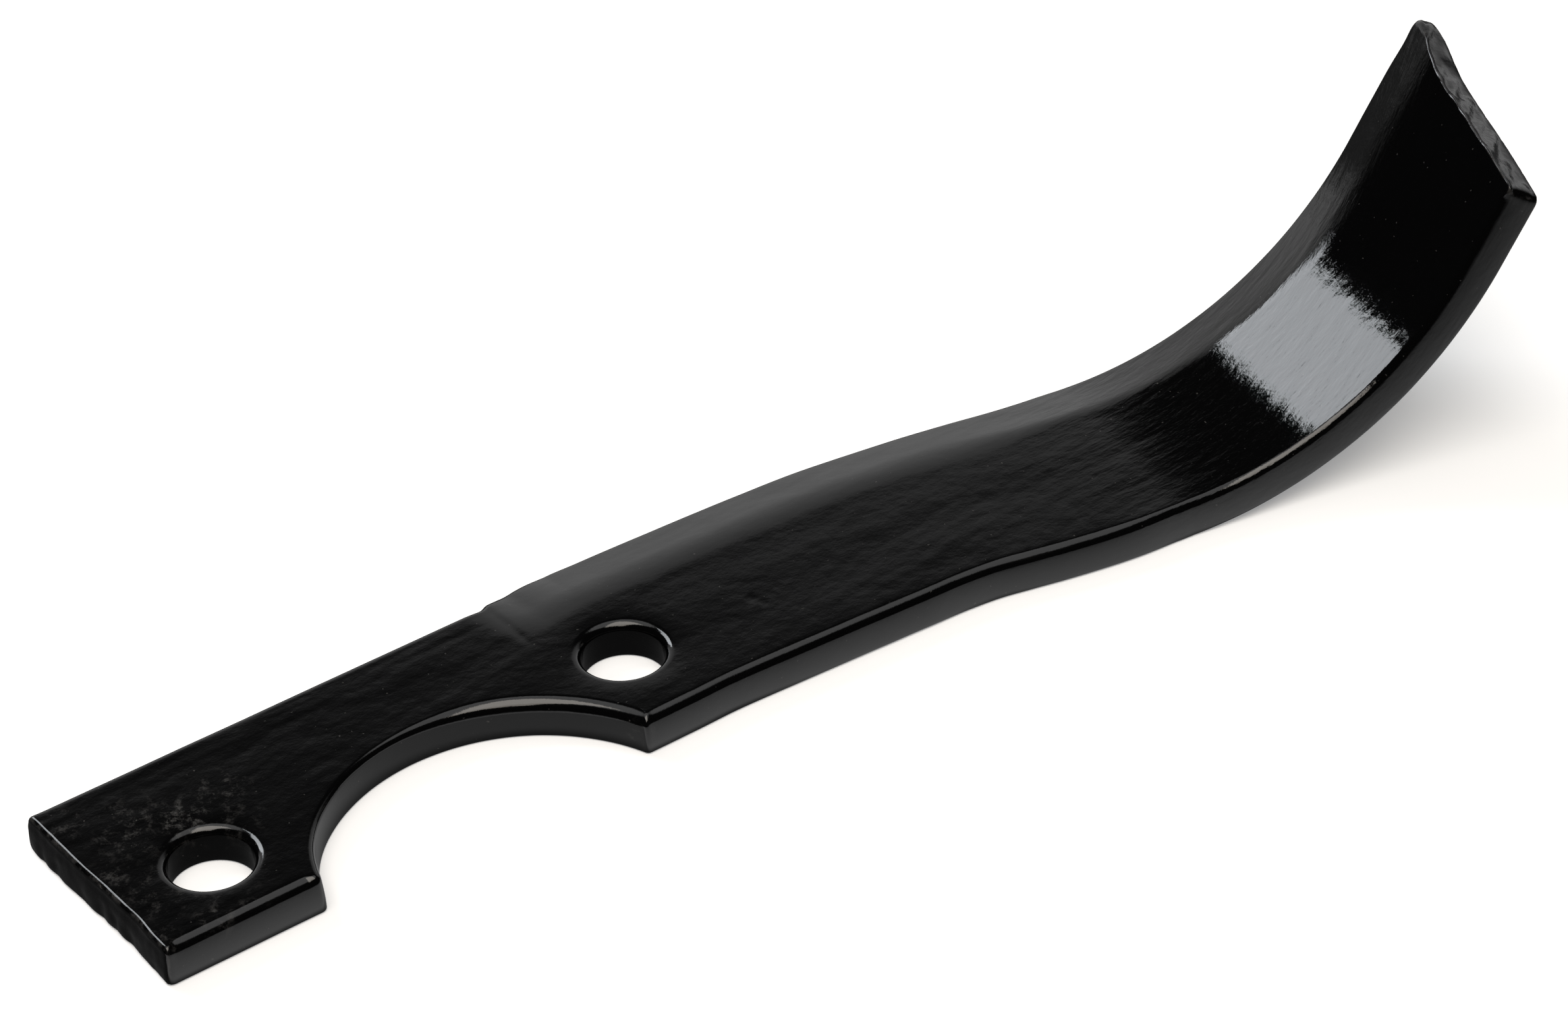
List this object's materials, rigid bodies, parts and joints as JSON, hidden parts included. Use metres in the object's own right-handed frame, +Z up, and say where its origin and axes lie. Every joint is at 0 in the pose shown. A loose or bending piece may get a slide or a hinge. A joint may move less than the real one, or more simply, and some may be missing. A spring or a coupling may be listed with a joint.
{
  "type": "rotary tiller blade",
  "caption": "Forged steel tiller blade: drilled and notched shank, drawn-out cutting edge, tip bent up and sheared at a slant.",
  "frame": {"origin": "midway between the centres of the two bolt holes, on the flat underside that lies against the rotor's flange", "axes": "+X along the bar towards the bent tip, +Y towards the cutting edge, +Z up, the way that the tip is bent"},
  "size_m": [0.2577, 0.0657, 0.055],
  "materials": {
    "black_paint": "glossy black paint over forged steel, with light scuffs"
  },
  "bodies": {
    "root": {"blade": "black_paint"}
  },
  "joints": []
}
